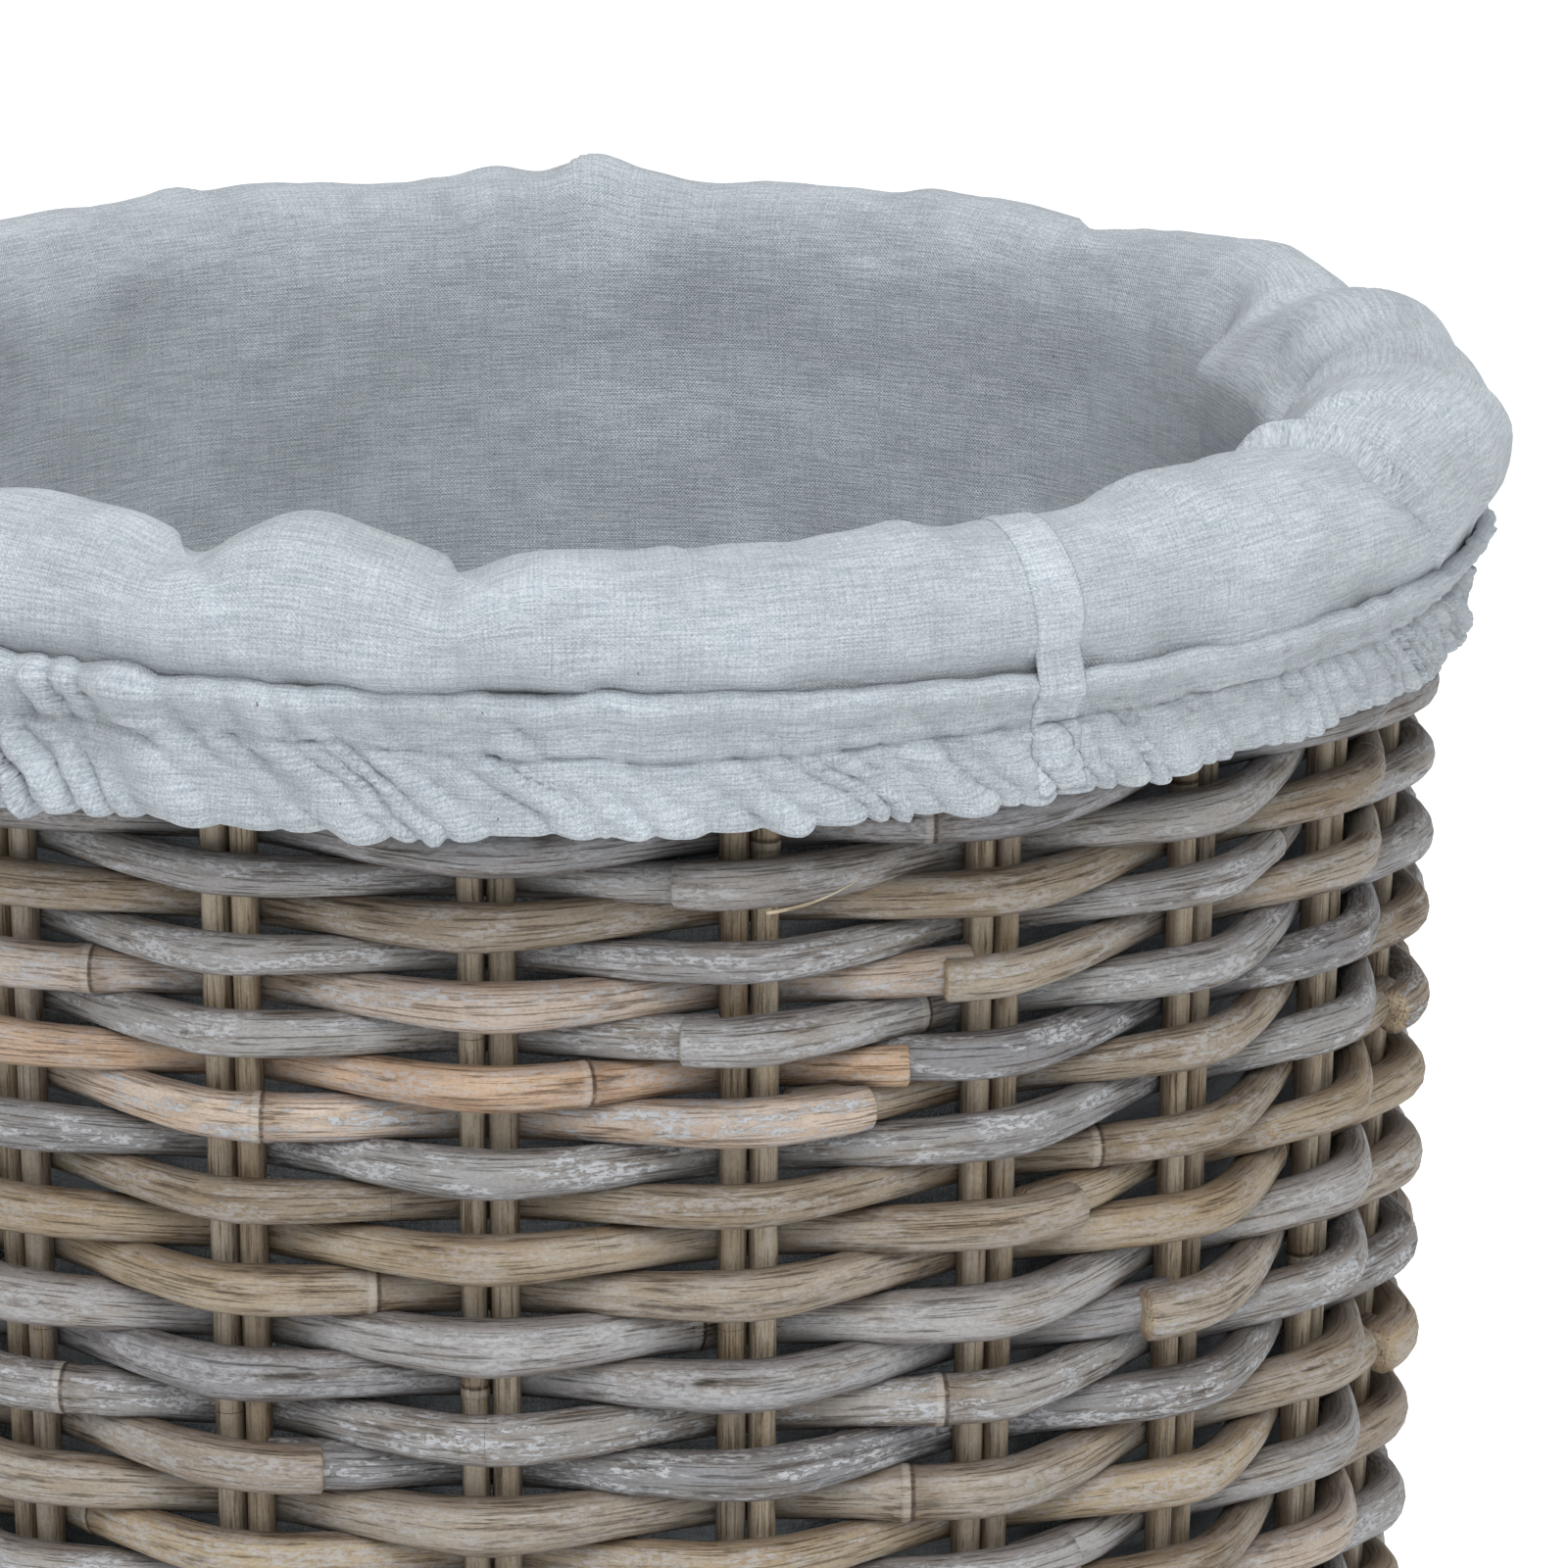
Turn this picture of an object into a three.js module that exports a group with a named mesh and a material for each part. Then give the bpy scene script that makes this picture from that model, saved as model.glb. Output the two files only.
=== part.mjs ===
// A round wicker laundry basket with a lift-out cloth liner.
// Millimetres, +Z up, origin at the centre of the base on the floor.
// Angles run from the front (-Y) towards +X, as LatheGeometry's do once it is turned upright.
import * as THREE from "three";

// Driving dimensions
const STAKE_PAIRS = 21; // pairs of upright stakes round the wall; odd, so one strand weaves it all
const STAKE_RADIUS = 3.25;
const WEAVER_DIAMETER = 9.2;
const ROW_PITCH = 9.7; // height that one row of weave takes
const WALL_RADIUS = 175.7; // stake circle at the floor
const WALL_FLARE = 0.03; // growth of that radius per unit of height
const GAP = 0.3; // between pieces that touch
const SIDES = 2 * STAKE_PAIRS; // facets of every ring, so that all rings stay parallel

const FOOT_HEIGHT = 16;
const UPSET_TOP = 36.7;
const COURSES = 3;
const ROWS_PER_COURSE = 16;
const WEAVE_TOP = UPSET_TOP + COURSES * ROWS_PER_COURSE * ROW_PITCH;
const TOP_WALE_TOP = WEAVE_TOP + 13;
const BORDER_TOP = 534;
const HALF_WALL = STAKE_RADIUS + WEAVER_DIAMETER; // stake circle to either face of the weave
const HALF_BORDER = 12; // stake circle to either face of the rim border

const CLOTH = 1.6; // liner cloth with the small folds in it
const LOFT = 6.5; // how far the cloth puffs up over the rim
const LINER_CLEARANCE = 0.8; // liner to wicker
const LINER_FLOOR = 18.3;
const LINER_BOTTOM_THICKNESS = 1.5;
const CUFF_BULGE = 211; // outer radius where the turned-over cloth stands proud of the rim
const HEM_BOTTOM = 484;
const HEM_TOP = 514.5;
const HEM_INNER = 204.8; // clears the rim border, so that the liner lifts off
const HEM_OUTER = 208.8;

const SEAM_FACET = 4; // the liner's side seam lies on this facet, counted from the front
const SEAM_SHIFT = -6; // along the facet, from its middle

const wallRadius = (z) => WALL_RADIUS + WALL_FLARE * z;
const linerOuter = (z) => wallRadius(z) - HALF_WALL - LINER_CLEARANCE;
const linerInner = (z) => linerOuter(z) - CLOTH;

const finish = (color, roughness) => new THREE.MeshStandardMaterial({ color, roughness, metalness: 0 });
const weaverCane = finish(0x8f8577, 0.75);
const stakeCane = finish(0xa6977a, 0.7);
const borderCane = finish(0x877e72, 0.75);
const baseCane = finish(0x91856f, 0.8);
const cotton = finish(0xc3c8cc, 0.95);
const elastic = finish(0xe6e6e4, 0.85);

const basket = new THREE.Group();

function add(name, geometry, material, parent = basket) {
  const mesh = new THREE.Mesh(geometry, material);
  mesh.name = name;
  parent.add(mesh);
  return mesh;
}

// A solid of revolution about Z from [radius, height] points that start and end on the axis.
function turned(outline) {
  const points = outline.map(([r, z]) => new THREE.Vector2(r, z));
  return new THREE.LatheGeometry(points, SIDES).rotateX(Math.PI / 2);
}

// A ring about Z from the [radius, height] corners of its section.
const ring = (section) => turned([...section, section[0]]);

// A disc about Z between two heights.
const disc = (radius, from, to) => turned([[0, from], [radius, from], [radius, to], [0, to]]);

const onCircle = (radius, angle) => new THREE.Vector2(radius * Math.sin(angle), -radius * Math.cos(angle));

function ringCorners(radius) {
  return Array.from({ length: SIDES }, (_, i) => onCircle(radius, (i * 2 * Math.PI) / SIDES));
}

// The pocket that the weave leaves round one pair of stakes, as a four-cornered hole.
function pocket(radius, angle) {
  const halfWidth = 2 * STAKE_RADIUS + 2 * GAP;
  const halfDepth = STAKE_RADIUS + GAP;
  const corners = [
    [-halfWidth, -halfDepth],
    [halfWidth, -halfDepth],
    [halfWidth, halfDepth],
    [-halfWidth, halfDepth],
  ];
  const out = onCircle(1, angle);
  const along = new THREE.Vector2(-out.y, out.x);
  const place = ([a, d]) => out.clone().multiplyScalar(radius + d).addScaledVector(along, a);
  return new THREE.Path(corners.map(place));
}

// A band of weave between two heights, with a pocket for every pair of stakes.
function addWovenBand(name, from, to, material) {
  const low = wallRadius(from);
  const outline = new THREE.Shape(ringCorners(low + HALF_WALL));
  outline.holes.push(new THREE.Path(ringCorners(low - HALF_WALL)));
  for (let i = 0; i < STAKE_PAIRS; i += 1) {
    outline.holes.push(pocket(low, (i * 2 * Math.PI) / STAKE_PAIRS));
  }
  const band = new THREE.ExtrudeGeometry(outline, { depth: to - from, bevelEnabled: false });
  const position = band.getAttribute("position");
  const flare = wallRadius(to) - low;
  for (let i = 0; i < position.count; i += 1) {
    const x = position.getX(i);
    const y = position.getY(i);
    const widen = position.getZ(i) > 0 ? 1 + flare / Math.hypot(x, y) : 1;
    position.setXY(i, x * widen, y * widen);
  }
  add(name, band.translate(0, 0, from), material);
}

// Upright stakes, two side by side at each station, leaning out with the wall.
function addStakes() {
  const bottom = FOOT_HEIGHT + GAP;
  const top = TOP_WALE_TOP;
  const middle = (bottom + top) / 2;
  const lean = Math.atan(WALL_FLARE);
  const length = (top - bottom) / Math.cos(lean) - 2 * GAP;
  const sideways = STAKE_RADIUS + GAP / 2;
  const sides = 8;
  for (let i = 0; i < STAKE_PAIRS; i += 1) {
    const station = new THREE.Group();
    station.rotation.z = (i * 2 * Math.PI) / STAKE_PAIRS;
    basket.add(station);
    const number = String(i + 1).padStart(2, "0");
    for (const [side, offset] of [["left", -sideways], ["right", sideways]]) {
      const rod = new THREE.CylinderGeometry(STAKE_RADIUS, STAKE_RADIUS, length, sides);
      const stake = add(`stake_${number}_${side}`, rod.rotateX(Math.PI / 2), stakeCane, station);
      stake.position.set(offset, -wallRadius(middle), middle);
      stake.rotation.x = lean;
    }
  }
}

// Bottom: foot border, woven floor, and the two crossed bundles of sticks that carry the floor.
function addBase() {
  const inner = wallRadius(0) - HALF_WALL;
  const outer = wallRadius(0) + HALF_WALL;
  const round = 4;
  add("foot_border", ring([
    [inner, 0],
    [outer - round, 0],
    [outer, round],
    [outer, FOOT_HEIGHT],
    [inner, FOOT_HEIGHT],
  ]), borderCane);

  const floorBottom = 3;
  const floorTop = 9;
  const floorRadius = inner - 2 * GAP;
  add("base_weave", disc(floorRadius, floorBottom, floorTop), baseCane);

  const bundle = 34; // five sticks side by side
  const stick = 4;
  const length = 2 * (floorRadius - 7);
  const underMiddle = floorTop + GAP + stick / 2;
  const under = new THREE.BoxGeometry(length, bundle, stick);
  add("base_sticks_under", under, baseCane).position.z = underMiddle;
  const over = new THREE.BoxGeometry(bundle, length, stick);
  add("base_sticks_over", over, baseCane).position.z = underMiddle + stick + GAP;
}

// Side wall: a stout wale at each end and the plain weave between them, in courses of whole rows.
function addWall() {
  addWovenBand("upset_wale", FOOT_HEIGHT + GAP, UPSET_TOP, borderCane);
  const courseHeight = ROWS_PER_COURSE * ROW_PITCH;
  for (let i = 0; i < COURSES; i += 1) {
    const from = UPSET_TOP + i * courseHeight;
    addWovenBand(`side_course_${i + 1}`, from + GAP, from + courseHeight, weaverCane);
  }
  addWovenBand("top_wale", WEAVE_TOP + GAP, TOP_WALE_TOP, borderCane);
}

// Rim: a stout hoop with the border laid over it as an inverted channel.
function addRim() {
  const bottom = TOP_WALE_TOP + GAP;
  const radius = wallRadius((bottom + BORDER_TOP) / 2);
  const outer = radius + HALF_BORDER;
  const inner = radius - HALF_BORDER;
  const round = 7;
  const hoop = 6.5;
  const hoopHeight = bottom + GAP + hoop;
  const channel = hoop + 2 * GAP;
  const channelTop = hoopHeight + hoop + 2 * GAP;
  add("rim_border", ring([
    [outer, bottom],
    [outer, BORDER_TOP - round],
    [outer - round, BORDER_TOP],
    [inner + round, BORDER_TOP],
    [inner, BORDER_TOP - round],
    [inner, bottom],
    [radius - channel, bottom],
    [radius - channel, channelTop],
    [radius + channel, channelTop],
    [radius + channel, bottom],
  ]), borderCane);

  const corners = 8;
  const corner = (i) => {
    const turn = ((i + 0.5) * 2 * Math.PI) / corners;
    return [radius + hoop * Math.cos(turn), hoopHeight + hoop * Math.sin(turn)];
  };
  add("rim_hoop", ring(Array.from({ length: corners }, (_, i) => corner(i))), stakeCane);
}

// Liner: a bag that hangs inside, turns over the rim, and ends in a gathered hem on an elastic.
function addLiner() {
  const crest = BORDER_TOP + LINER_CLEARANCE;
  const top = crest + LOFT;
  const outside = wallRadius(BORDER_TOP) + HALF_BORDER + LINER_CLEARANCE;
  const bulgeHeight = (crest + HEM_TOP) / 2;
  const shoulder = 8;
  add("liner_body", ring([
    [linerInner(LINER_FLOOR), LINER_FLOOR],
    [linerOuter(LINER_FLOOR), LINER_FLOOR],
    [linerOuter(crest), crest],
    [outside, crest],
    [CUFF_BULGE - 2 * CLOTH, bulgeHeight],
    [HEM_OUTER - 2 * CLOTH, HEM_TOP],
    [HEM_OUTER, HEM_TOP],
    [CUFF_BULGE, bulgeHeight],
    [CUFF_BULGE - 2, crest - 3],
    [outside - 4, top],
    [linerInner(crest) + shoulder, top],
    [linerInner(crest), crest - 2],
  ]), cotton);

  const bottomRadius = linerInner(LINER_FLOOR) - 2 * GAP;
  const bottomTop = LINER_FLOOR + LINER_BOTTOM_THICKNESS;
  add("liner_bottom", disc(bottomRadius, LINER_FLOOR, bottomTop), cotton);

  const casing = 1.2;
  const casingTop = HEM_TOP - GAP;
  add("hem_casing", ring([
    [HEM_INNER, HEM_BOTTOM],
    [HEM_OUTER, HEM_BOTTOM],
    [HEM_OUTER, casingTop],
    [HEM_OUTER - casing, casingTop],
    [HEM_OUTER - casing, HEM_BOTTOM + casing],
    [HEM_INNER + casing, HEM_BOTTOM + casing],
    [HEM_INNER + casing, casingTop],
    [HEM_INNER, casingTop],
  ]), cotton);

  const bandFrom = HEM_BOTTOM + casing + GAP;
  const bandTo = bandFrom + 12;
  const bandInner = HEM_INNER + casing + GAP;
  const bandOuter = HEM_OUTER - casing - GAP;
  add("hem_elastic", ring([
    [bandInner, bandFrom],
    [bandOuter, bandFrom],
    [bandOuter, bandTo],
    [bandInner, bandTo],
  ]), elastic);

  const seamWidth = 10;
  const seamDepth = 1.2;
  const seamFrom = bottomTop + 2;
  const seamTo = BORDER_TOP - 10;
  const seamMiddle = (seamFrom + seamTo) / 2;
  const toFacet = linerInner(seamMiddle) * Math.cos(Math.PI / SIDES);
  const facet = new THREE.Group();
  facet.rotation.z = ((SEAM_FACET + 0.5) * 2 * Math.PI) / SIDES;
  basket.add(facet);
  const strip = new THREE.BoxGeometry(seamWidth, seamDepth, seamTo - seamFrom);
  const seam = add("side_seam", strip, cotton, facet);
  seam.position.set(SEAM_SHIFT, -(toFacet - GAP - seamDepth / 2), seamMiddle);
  seam.rotation.x = Math.atan(WALL_FLARE);
}

addBase();
addWall();
addStakes();
addRim();
addLiner();

export default basket;
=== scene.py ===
"""A round wicker laundry basket with a lift-out cloth liner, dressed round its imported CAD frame.

Metres, +Z up. Angles run from the front (-Y) towards +X.
"""
import math
import random

import bpy
import numpy as np
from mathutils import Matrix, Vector, noise


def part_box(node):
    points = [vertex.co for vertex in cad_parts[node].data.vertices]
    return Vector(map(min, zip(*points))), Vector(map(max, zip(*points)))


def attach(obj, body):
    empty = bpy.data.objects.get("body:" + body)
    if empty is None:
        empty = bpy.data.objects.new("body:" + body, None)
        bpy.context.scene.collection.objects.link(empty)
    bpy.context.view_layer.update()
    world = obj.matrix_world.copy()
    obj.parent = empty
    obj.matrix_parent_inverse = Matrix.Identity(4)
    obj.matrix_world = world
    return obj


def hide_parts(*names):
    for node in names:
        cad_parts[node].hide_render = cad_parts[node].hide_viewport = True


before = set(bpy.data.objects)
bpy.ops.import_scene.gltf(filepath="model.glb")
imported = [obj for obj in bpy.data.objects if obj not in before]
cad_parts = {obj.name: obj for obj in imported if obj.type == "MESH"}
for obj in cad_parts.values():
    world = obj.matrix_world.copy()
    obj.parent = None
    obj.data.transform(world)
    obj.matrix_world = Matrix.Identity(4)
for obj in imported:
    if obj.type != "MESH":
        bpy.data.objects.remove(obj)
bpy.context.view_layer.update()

MM = 0.001
TAU = 2 * math.pi
rng = random.Random(21)


# ---------------------------------------------------------------- sizes from the frame

def top_of(node):
    """Level of a node's top."""
    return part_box(node)[1].z


def bottom_of(node):
    """Level of a node's underside."""
    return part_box(node)[0].z


def outer_of(node):
    """A ring's outer radius: its corners lie on the Y axis."""
    return -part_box(node)[0].y


stake_low, stake_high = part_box("stake_01_left")
STAKE = (stake_high.x - stake_low.x) / 2
STAKE_APART = -(stake_low.x + stake_high.x) / 2
WEAVER = 9.2 * MM
HALF_WALL = STAKE + WEAVER
PAIRS = len([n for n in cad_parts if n.startswith("stake_") and n.endswith("_left")])
STEP = TAU / PAIRS
COURSES = sorted(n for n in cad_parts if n.startswith("side_course"))
WEAVE_BOTTOM = bottom_of(COURSES[0])
WEAVE_TOP = top_of(COURSES[-1])
ROWS = 48
ROW_PITCH = (WEAVE_TOP - WEAVE_BOTTOM) / ROWS
FLARE = (outer_of(COURSES[-1]) - outer_of(COURSES[0])) / (top_of(COURSES[-1]) - top_of(COURSES[0]))
WALL_AT_FLOOR = outer_of(COURSES[0]) - HALF_WALL - FLARE * top_of(COURSES[0])


def wall(z):
    """Radius of the circle that the stakes stand on."""
    return WALL_AT_FLOOR + FLARE * z


def on_circle(radius, theta, z):
    """Points at a radius, an angle from the front and a level, which may be arrays."""
    radius, theta, z = np.broadcast_arrays(radius, theta, z)
    return np.stack([radius * np.sin(theta), -radius * np.cos(theta), z], axis=-1)


def smooth(x):
    """A soft step from 0 to 1."""
    x = np.clip(x, 0.0, 1.0)
    return x * x * (3 - 2 * x)


def linked(name, data):
    """A new object in the scene."""
    made = bpy.data.objects.new(name, data)
    bpy.context.scene.collection.objects.link(made)
    return made


# ---------------------------------------------------------------- camera

LENS = 233.55  # mm, long, so that the basket hardly narrows with distance
SENSOR = 36  # mm
VIEW_DISTANCE = 2.28
VIEW_HEIGHT = 1.058
VIEW_TURN = math.radians(5.49)  # the camera stands this far round from the front
VIEW_AIM = math.radians(1.25)  # and looks this far right of the basket's centre line
VIEW_PITCH = math.radians(15.2)

camera_data = bpy.data.cameras.new("camera")
camera_data.sensor_width = SENSOR
camera_data.lens = LENS
camera_data.clip_start = 0.1
camera_data.clip_end = 60
camera = linked("camera", camera_data)
camera.location = on_circle(VIEW_DISTANCE, VIEW_TURN, VIEW_HEIGHT)
camera.rotation_euler = (math.pi / 2 - VIEW_PITCH, 0, VIEW_TURN - VIEW_AIM)
bpy.context.scene.camera = camera


# ---------------------------------------------------------------- materials

def linear(rgb):
    """A linear colour from an sRGB one of 0 to 255."""
    return tuple(((c / 255 + 0.055) / 1.055) ** 2.4 if c > 10 else c / 255 / 12.92 for c in rgb)


class Shader:
    """A material's node tree, with short calls for the nodes that the materials here share."""

    def __init__(self, name, roughness, specular, sheen=0.0):
        self.material = bpy.data.materials.new(name)
        self.material.use_nodes = True
        self.tree = self.material.node_tree
        self.surface = self.tree.nodes["Principled BSDF"]
        self.surface.inputs["Roughness"].default_value = roughness
        self.surface.inputs["Specular IOR Level"].default_value = specular
        self.surface.inputs["Sheen Weight"].default_value = sheen

    def node(self, kind, values=(), **settings):
        made = self.tree.nodes.new(kind)
        for key, value in settings.items():
            setattr(made, key, value)
        for key, value in dict(values).items():
            if isinstance(value, bpy.types.NodeSocket):
                self.tree.links.new(value, made.inputs[key])
            else:
                made.inputs[key].default_value = value
        return made

    def attribute(self, name, output="Vector"):
        return self.node("ShaderNodeAttribute", attribute_name=name).outputs[output]

    def stretched(self, vector, scale):
        values = {0: vector, 1: scale}
        return self.node("ShaderNodeVectorMath", values, operation="MULTIPLY").outputs["Vector"]

    def noise(self, vector, scale, detail=2.0, roughness=0.5):
        values = {"Vector": self.stretched(vector, scale), "Scale": 1.0}
        values.update(Detail=detail, Roughness=roughness)
        return self.node("ShaderNodeTexNoise", values).outputs["Fac"]

    def ramp(self, value, start, end, low=0.0, high=1.0):
        values = {"Value": value, "From Min": start, "From Max": end, "To Min": low, "To Max": high}
        return self.node("ShaderNodeMapRange", values, interpolation_type="SMOOTHSTEP").outputs["Result"]

    def math(self, operation, a, b=0.0):
        return self.node("ShaderNodeMath", {0: a, 1: b}, operation=operation).outputs["Value"]

    def times(self, a, b):
        return self.math("MULTIPLY", a, b)

    def plus(self, a, b):
        return self.math("ADD", a, b)

    def shade(self, colour, amount, by):
        """The colour multiplied by another, as far as amount says."""
        return self.mix(amount, colour, by, "MULTIPLY")

    def mix(self, factor, a, b, blend="MIX"):
        made = self.node("ShaderNodeMix", data_type="RGBA", blend_type=blend)
        for key, value in ((0, factor), (6, a), (7, b)):
            if isinstance(value, bpy.types.NodeSocket):
                self.tree.links.new(value, made.inputs[key])
            else:
                made.inputs[key].default_value = value if key == 0 else (*value, 1.0)
        return made.outputs[2]

    def finish(self, colour, height, depth, roughness=None):
        """Joins the colour, a relief of the given depth in metres and the roughness to the surface."""
        self.tree.links.new(colour, self.surface.inputs["Base Color"])
        values = {"Height": height, "Strength": 1.0, "Distance": depth}
        bumped = self.node("ShaderNodeBump", values).outputs["Normal"]
        self.tree.links.new(bumped, self.surface.inputs["Normal"])
        if roughness is not None:
            self.tree.links.new(roughness, self.surface.inputs["Roughness"])
        return self.material


def cane_material(name, thickness, lime, stain, roughness):
    """Skin-on rattan: warm and cool patches, long dark grain, lime-wash flakes, dirt and painted contact
    shade along the edges where strands touch, and a collar at each cane node.

    The strand's own colour is in "tint", whose alpha says how much lime-wash is left on it. "cane" holds the
    place along the strand and round it, in metres, and "ring" the distance to the nearest node.
    """
    shader = Shader(name, roughness, 0.3)
    place = shader.attribute("cane")
    tint = shader.attribute("tint", "Color")
    wash = shader.attribute("tint", "Alpha")
    ring = shader.attribute("ring", "Fac")

    broad = shader.noise(place, (16, 110, 110), 3.0)
    warm = shader.noise(place, (40, 190, 190), 4.0, 0.6)
    streak = shader.noise(place, (45, 1000, 1000), 4.0, 0.6)
    hair = shader.noise(place, (48, 1900, 1900), 4.0, 0.6)
    patch = shader.noise(place, (55, 300, 300), 5.0, 0.7)
    flake = shader.noise(place, (480, 1300, 1300), 4.0, 0.7)
    blot = shader.noise(place, (40, 260, 260), 4.0, 0.65)
    grit = shader.noise(place, (1100, 1900, 1900), 3.0, 0.7)

    colour = shader.shade(tint, shader.ramp(broad, 0.3, 0.7), (0.82, 0.82, 0.84))
    colour = shader.shade(colour, shader.ramp(warm, 0.45, 0.68, 0.0, 0.8), (0.86, 0.77, 0.66))
    colour = shader.shade(colour, shader.ramp(streak, 0.44, 0.66, 0.0, 0.55), (0.66, 0.62, 0.57))
    colour = shader.shade(colour, shader.ramp(grit, 0.42, 0.62, 0.0, 0.6), (0.74, 0.72, 0.70))
    washed = shader.times(shader.ramp(patch, 0.47, 0.57), shader.ramp(flake, 0.43, 0.52))
    washed = shader.times(shader.times(washed, wash), lime)
    colour = shader.mix(washed, colour, (0.42, 0.43, 0.45))
    lines = shader.times(shader.ramp(hair, 0.54, 0.64), shader.ramp(patch, 0.60, 0.42, 0.1, 0.75))
    colour = shader.shade(colour, lines, (0.42, 0.37, 0.33))
    dark = shader.times(shader.ramp(blot, 0.55, 0.70, 0.0, stain), shader.ramp(streak, 0.36, 0.56))
    colour = shader.shade(colour, dark, (0.26, 0.23, 0.21))
    # Darker along both edges where a strand touches its neighbours: painted contact shade, with some dirt.
    beside = shader.node("ShaderNodeSeparateXYZ", {0: place}).outputs["Z"]
    edge = shader.ramp(shader.math("ABSOLUTE", beside), 0.6 * thickness, 1.02 * thickness)
    colour = shader.shade(colour, shader.times(edge, 0.65), (0.40, 0.33, 0.29))

    beyond = shader.ramp(ring, 0.0006, 0.0014)
    bruise = shader.times(beyond, shader.ramp(ring, 0.0105, 0.002))
    colour = shader.shade(colour, shader.times(bruise, 0.5), (0.50, 0.40, 0.31))
    collar = shader.ramp(shader.math("ABSOLUTE", ring), 0.0015, 0.0005)
    colour = shader.mix(shader.times(collar, 0.35), colour, (0.46, 0.42, 0.36))
    crack = shader.times(shader.ramp(ring, 0.0008, 0.0012), shader.ramp(ring, 0.0022, 0.0014))
    crack = shader.times(crack, shader.ramp(flake, 0.35, 0.55))
    colour = shader.shade(colour, shader.times(crack, 0.8), (0.20, 0.15, 0.11))

    height = shader.times(streak, -0.5)
    height = shader.math("SUBTRACT", height, lines)
    height = shader.plus(height, shader.times(washed, 0.35))
    height = shader.plus(height, collar)
    height = shader.math("SUBTRACT", height, crack)
    gloss = shader.ramp(patch, 0.35, 0.65, roughness - 0.12, roughness + 0.15)
    return shader.finish(colour, height, 0.00035, gloss)


THREAD = 0.95 * MM


def cloth_material(name, rgb, weave=1.0):
    """Plain-weave cotton and linen: crossing threads, long slubs both ways, faint mottling and rare flecks.

    "cloth" holds the place across and along the cloth, in metres.
    """
    shader = Shader(name, 0.92, 0.15, 0.12)
    place = shader.attribute("cloth")
    across = shader.noise(place, (70, 1900, 1), 4.0, 0.7)
    along = shader.noise(place, (1900, 70, 1), 4.0, 0.7)
    fine = shader.noise(place, (1500, 1500, 1), 4.0, 0.75)
    cloud = shader.noise(place, (24, 48, 1), 6.0, 0.7)
    fleck = shader.noise(place, (520, 380, 1), 1.0)

    threads = shader.node("ShaderNodeSeparateXYZ", {0: place})
    warp = shader.math("SINE", shader.times(threads.outputs["X"], TAU / THREAD))
    weft = shader.math("SINE", shader.times(threads.outputs["Y"], TAU / THREAD))
    crossing = shader.times(warp, weft)

    base = linear(rgb)
    pale = tuple(min(1.0, c * 1.04) for c in base)
    deep = tuple(c * 0.84 for c in base)
    colour = shader.mix(shader.ramp(cloud, 0.35, 0.7), deep, pale)
    colour = shader.shade(colour, shader.ramp(across, 0.42, 0.60, 0.0, weave), (0.76, 0.78, 0.80))
    colour = shader.shade(colour, shader.ramp(along, 0.42, 0.62, 0.0, 0.7 * weave), (0.80, 0.82, 0.84))
    colour = shader.shade(colour, shader.ramp(fine, 0.42, 0.60, 0.0, weave), (0.74, 0.76, 0.78))
    colour = shader.shade(colour, shader.ramp(fleck, 0.80, 0.83, 0.0, 0.8), (0.22, 0.18, 0.15))

    height = shader.times(crossing, 0.25)
    height = shader.plus(height, shader.times(across, 1.1))
    height = shader.plus(height, shader.times(along, 0.9))
    height = shader.plus(height, shader.times(fine, 0.8))
    return shader.finish(colour, height, 0.00040 * weave)


weaver_cane = cane_material("weaver_cane", 4.6 * MM, 1.0, 0.9, 0.62)
stake_cane = cane_material("stake_cane", 3.2 * MM, 0.3, 0.8, 0.58)
border_cane = cane_material("border_cane", 3.4 * MM, 0.8, 0.8, 0.64)
base_cane = cane_material("base_cane", 2.5 * MM, 0.5, 0.6, 0.75)
liner_cotton = cloth_material("liner_cotton", (218, 225, 230))
seam_cotton = cloth_material("seam_cotton", (226, 233, 238))
elastic_tape = cloth_material("elastic_tape", (228, 229, 228), 0.6)


# ---------------------------------------------------------------- strands of cane

CANE_COLOURS = {  # weathered skin-on rattan
    "ash": (166, 165, 164),
    "slate": (145, 146, 149),
    "greige": (164, 155, 141),
    "taupe": (156, 144, 126),
    "tan": (174, 159, 135),
    "peach": (198, 183, 169),
    "rust": (206, 179, 153),
    "lime": (164, 164, 164),
    "buff": (190, 178, 157),
    "straw": (202, 189, 165),
    "bark": (146, 135, 118),
}


def new_object(name, vertices, faces, attributes, material):
    """A smooth-shaded mesh object from vertices, faces, and point attributes of 1, 3 or 4 numbers."""
    mesh = bpy.data.meshes.new(name)
    mesh.from_pydata(vertices.tolist(), [], faces)
    kinds = {1: ("FLOAT", "value"), 3: ("FLOAT_VECTOR", "vector"), 4: ("FLOAT_COLOR", "color")}
    for key, values in attributes.items():
        kind, field = kinds[1 if values.ndim == 1 else values.shape[1]]
        attribute = mesh.attributes.new(key, kind, "POINT")
        attribute.data.foreach_set(field, values.astype(np.float32).ravel())
    mesh.materials.append(material)
    mesh.polygons.foreach_set("use_smooth", [True] * len(mesh.polygons))
    mesh.update()
    return linked(name, mesh)


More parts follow.
